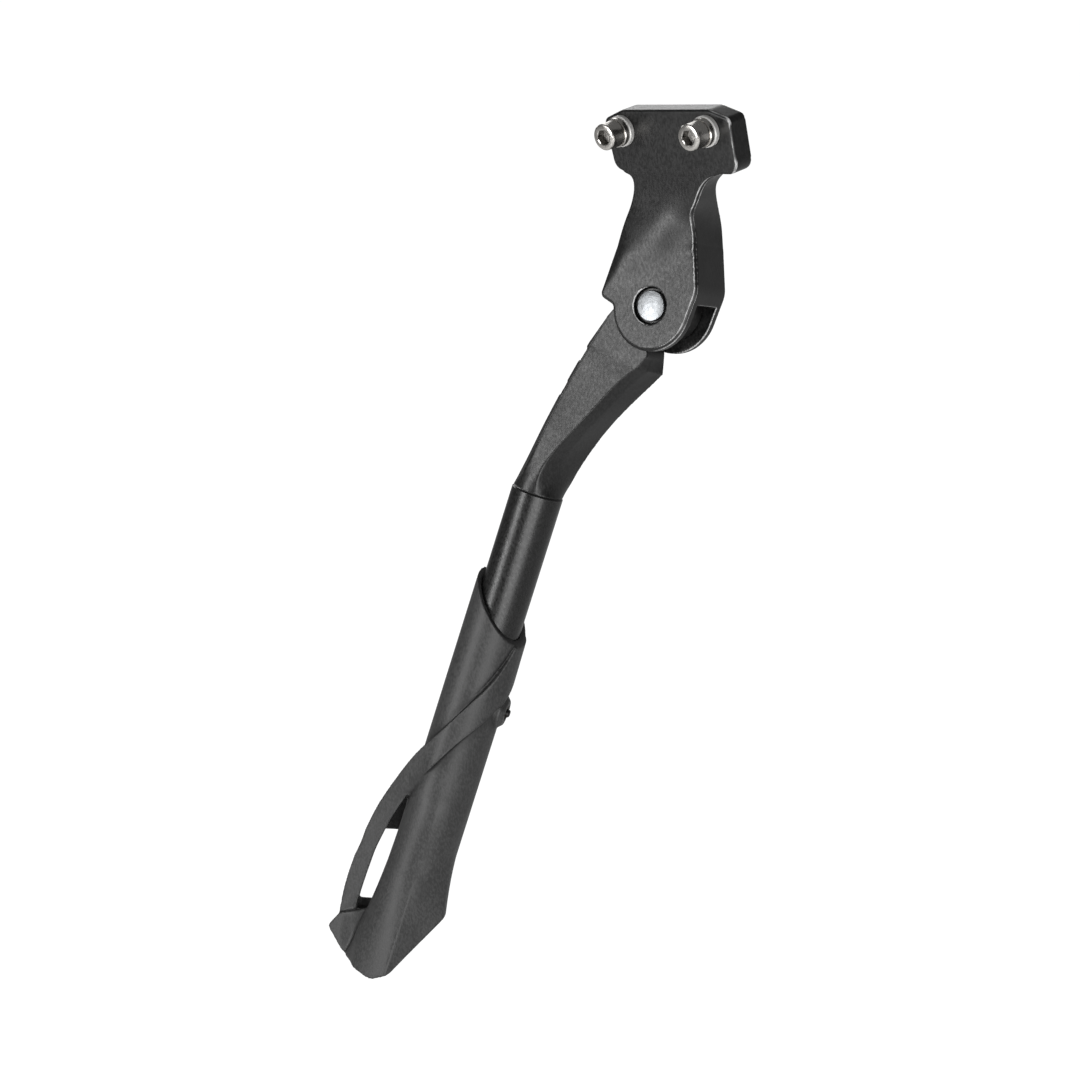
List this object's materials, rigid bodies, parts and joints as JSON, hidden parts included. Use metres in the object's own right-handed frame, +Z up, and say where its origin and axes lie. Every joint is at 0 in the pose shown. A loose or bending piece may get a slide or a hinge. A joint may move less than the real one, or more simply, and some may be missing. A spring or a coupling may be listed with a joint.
{
  "type": "bicycle kickstand",
  "caption": "Rear-mount bicycle kickstand: a screw-on bracket carries a leg that folds on a detent pivot and ends in a sliding, clamped plastic foot.",
  "frame": {"origin": "on the face that meets the bicycle frame, midway between the mounting screws", "axes": "+X to the rear of the bicycle along the screw row, +Y towards the wheel, +Z up"},
  "size_m": [0.1658, 0.1456, 0.3063],
  "materials": {
    "black_casting": "satin black paint on cast aluminium",
    "black_tube": "satin black paint on steel tube",
    "black_plastic": "fine grained black nylon",
    "bright_steel": "stainless steel",
    "zinc_steel": "bright zinc plated steel",
    "spring_steel": "oiled spring steel",
    "brass_insert": "turned brass"
  },
  "bodies": {
    "bracket": {"mounting_bracket": "black_casting", "mount_screw_front": "bright_steel", "mount_screw_rear": "bright_steel", "lock_washer_front": "bright_steel", "lock_washer_rear": "bright_steel", "flat_washer_front": "bright_steel", "flat_washer_rear": "bright_steel", "pivot_pin": "zinc_steel", "pin_ring": "spring_steel", "cam_bush": "zinc_steel", "pivot_washer_outer": "zinc_steel", "pivot_washer_inner": "zinc_steel"},
    "leg": {"upper_leg": "black_casting", "detent_spring": "spring_steel", "leg_tube": "black_tube"},
    "plunger": {"detent_plunger": "zinc_steel"},
    "foot": {"foot": "black_plastic", "clamp_insert": "brass_insert", "clamp_screw": "spring_steel"}
  },
  "joints": [
    {"name": "leg_fold", "type": "hinge", "parent": "bracket", "child": "leg", "pos_m": [-0.01205, -0.01029, -0.06435], "axis": [0.1947, -0.9162, 0.3502], "range_deg": [0, 98]},
    {"name": "detent_plunge", "type": "slide", "parent": "leg", "child": "plunger", "axis": [0.6004, 0.3937, 0.6961], "range_m": [0, 0.0015], "stiffness_N_per_m": 3000},
    {"name": "foot_length", "type": "slide", "parent": "leg", "child": "foot", "axis": [-0.2562, -0.3922, -0.8835], "range_m": [-0.02, 0.03]}
  ]
}
